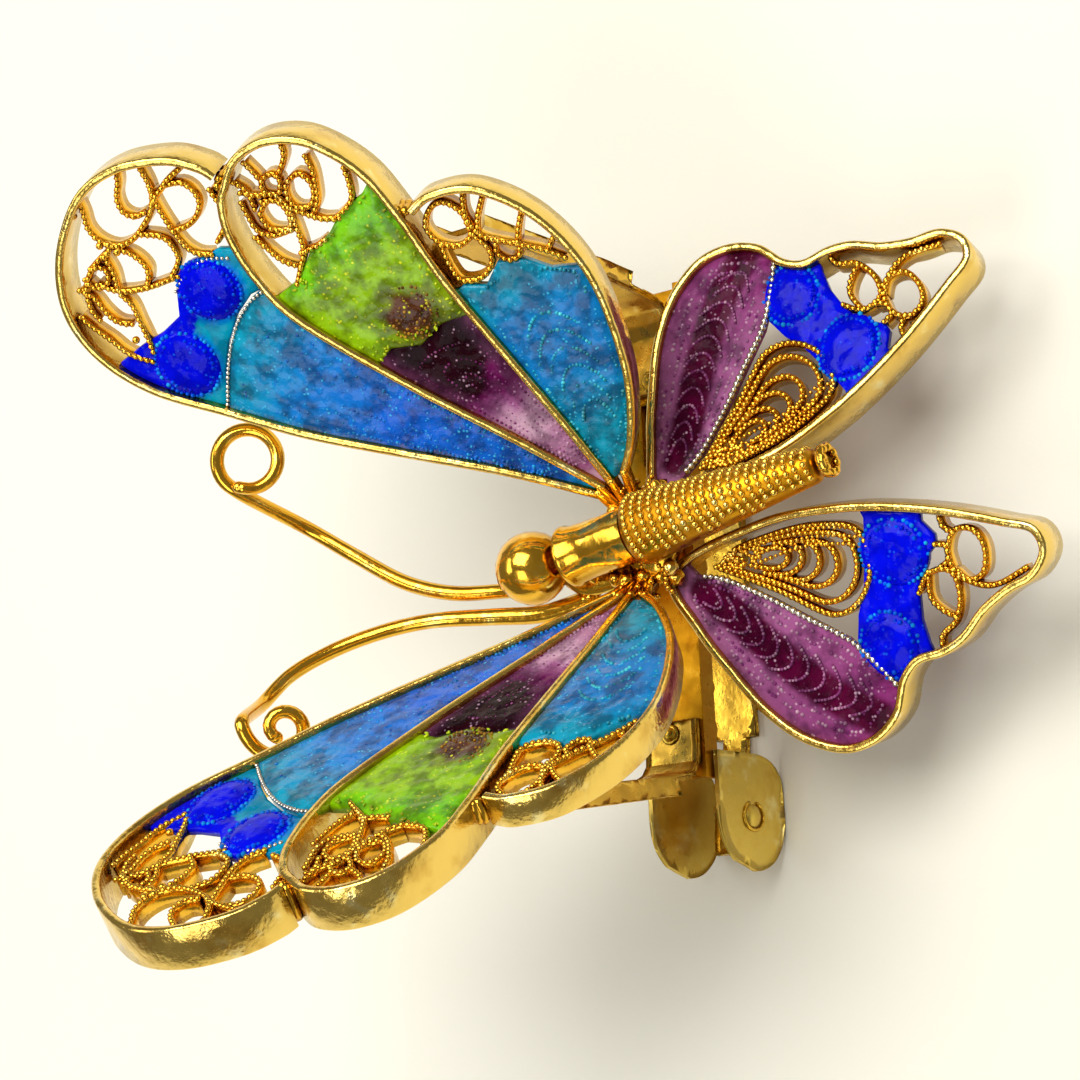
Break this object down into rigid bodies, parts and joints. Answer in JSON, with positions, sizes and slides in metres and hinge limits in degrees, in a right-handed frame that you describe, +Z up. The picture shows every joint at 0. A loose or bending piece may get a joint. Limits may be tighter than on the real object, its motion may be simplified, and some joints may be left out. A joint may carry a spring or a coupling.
{
  "type": "decorative hair pin",
  "caption": "Butterfly hair barrette with raised filigree and enamel wings, curled antennae and a small spring clip that opens under the base.",
  "frame": {"origin": "middle of the clasp arm's flat underside, which lies against the head", "axes": "+X along the clip towards its hinge, +Y towards the butterfly's head, +Z up out of the hair"},
  "size_m": [0.0467, 0.0504, 0.0378],
  "materials": {
    "gilt": "polished gilt",
    "pale_gilt": "satin gilt",
    "clip_metal": "plain gilt sheet",
    "cobalt": "glossy enamel",
    "blue": "glossy enamel",
    "turquoise": "glossy enamel",
    "lime": "glossy enamel",
    "plum": "glossy enamel",
    "purple": "glossy enamel"
  },
  "bodies": {
    "barrette": {"forewing_front_band_right": "pale_gilt", "forewing_middle_band_right": "pale_gilt", "forewing_rear_band_right": "pale_gilt", "forewing_enamel_blue_right": "blue", "forewing_enamel_cobalt_right": "cobalt", "forewing_scroll_front_right": "gilt", "forewing_enamel_plum_right": "plum", "forewing_enamel_lime_right": "lime", "forewing_scroll_middle_right": "gilt", "forewing_enamel_turquoise_right": "turquoise", "forewing_scroll_rear_right": "gilt", "hindwing_band_right": "pale_gilt", "hindwing_enamel_purple_right": "purple", "hindwing_filigree_drop_right": "gilt", "hindwing_enamel_cobalt_right": "cobalt", "hindwing_scroll_tip_right": "gilt", "forewing_front_band_left": "pale_gilt", "forewing_middle_band_left": "pale_gilt", "forewing_rear_band_left": "pale_gilt", "forewing_enamel_blue_left": "blue", "forewing_enamel_cobalt_left": "cobalt", "forewing_scroll_front_left": "gilt", "forewing_enamel_plum_left": "plum", "forewing_enamel_lime_left": "lime", "forewing_scroll_middle_left": "gilt", "forewing_enamel_turquoise_left": "turquoise", "forewing_scroll_rear_left": "gilt", "hindwing_band_left": "pale_gilt", "hindwing_enamel_purple_left": "purple", "hindwing_filigree_drop_left": "gilt", "hindwing_enamel_cobalt_left": "cobalt", "hindwing_scroll_tip_left": "gilt", "head_ball": "gilt", "thorax_tube": "gilt", "abdomen_cone": "gilt", "tail_cup": "gilt", "body_saddle": "gilt", "granule_left": "gilt", "granule_right": "gilt", "antenna_right": "gilt", "antenna_left": "gilt", "base_strip": "clip_metal", "wing_support_right": "clip_metal", "wing_support_left": "clip_metal", "rivet_right": "clip_metal", "rivet_left": "clip_metal", "hinge_pin": "clip_metal"},
    "clasp_arm": {"clasp_arm": "clip_metal"},
    "bow_leaf": {"bow_spring": "clip_metal"},
    "catch_front": {"catch_wing_front": "clip_metal"},
    "catch_rear": {"catch_wing_rear": "clip_metal"}
  },
  "joints": [
    {"name": "clasp_hinge", "type": "hinge", "parent": "barrette", "child": "clasp_arm", "pos_m": [0.0152, 0, 0.0044], "axis": [0, -1, 0], "range_deg": [0, 60]},
    {"name": "bow_flex", "type": "hinge", "parent": "barrette", "child": "bow_leaf", "pos_m": [0.0124, 0, 0.00642], "axis": [0, 1, 0], "range_deg": [0, 1.5], "stiffness_Nm_per_rad": 0.01, "springref_deg": -1.15},
    {"name": "catch_pinch_front", "type": "hinge", "parent": "barrette", "child": "catch_front", "pos_m": [-0.015, 0.00213, 0.00635], "axis": [-1, 0, 0], "range_deg": [0, 5], "stiffness_Nm_per_rad": 0.01, "springref_deg": -2.86},
    {"name": "catch_pinch_rear", "type": "hinge", "parent": "barrette", "child": "catch_rear", "pos_m": [-0.015, -0.00213, 0.00635], "axis": [1, 0, 0], "range_deg": [0, 5], "stiffness_Nm_per_rad": 0.01, "springref_deg": -2.86}
  ]
}
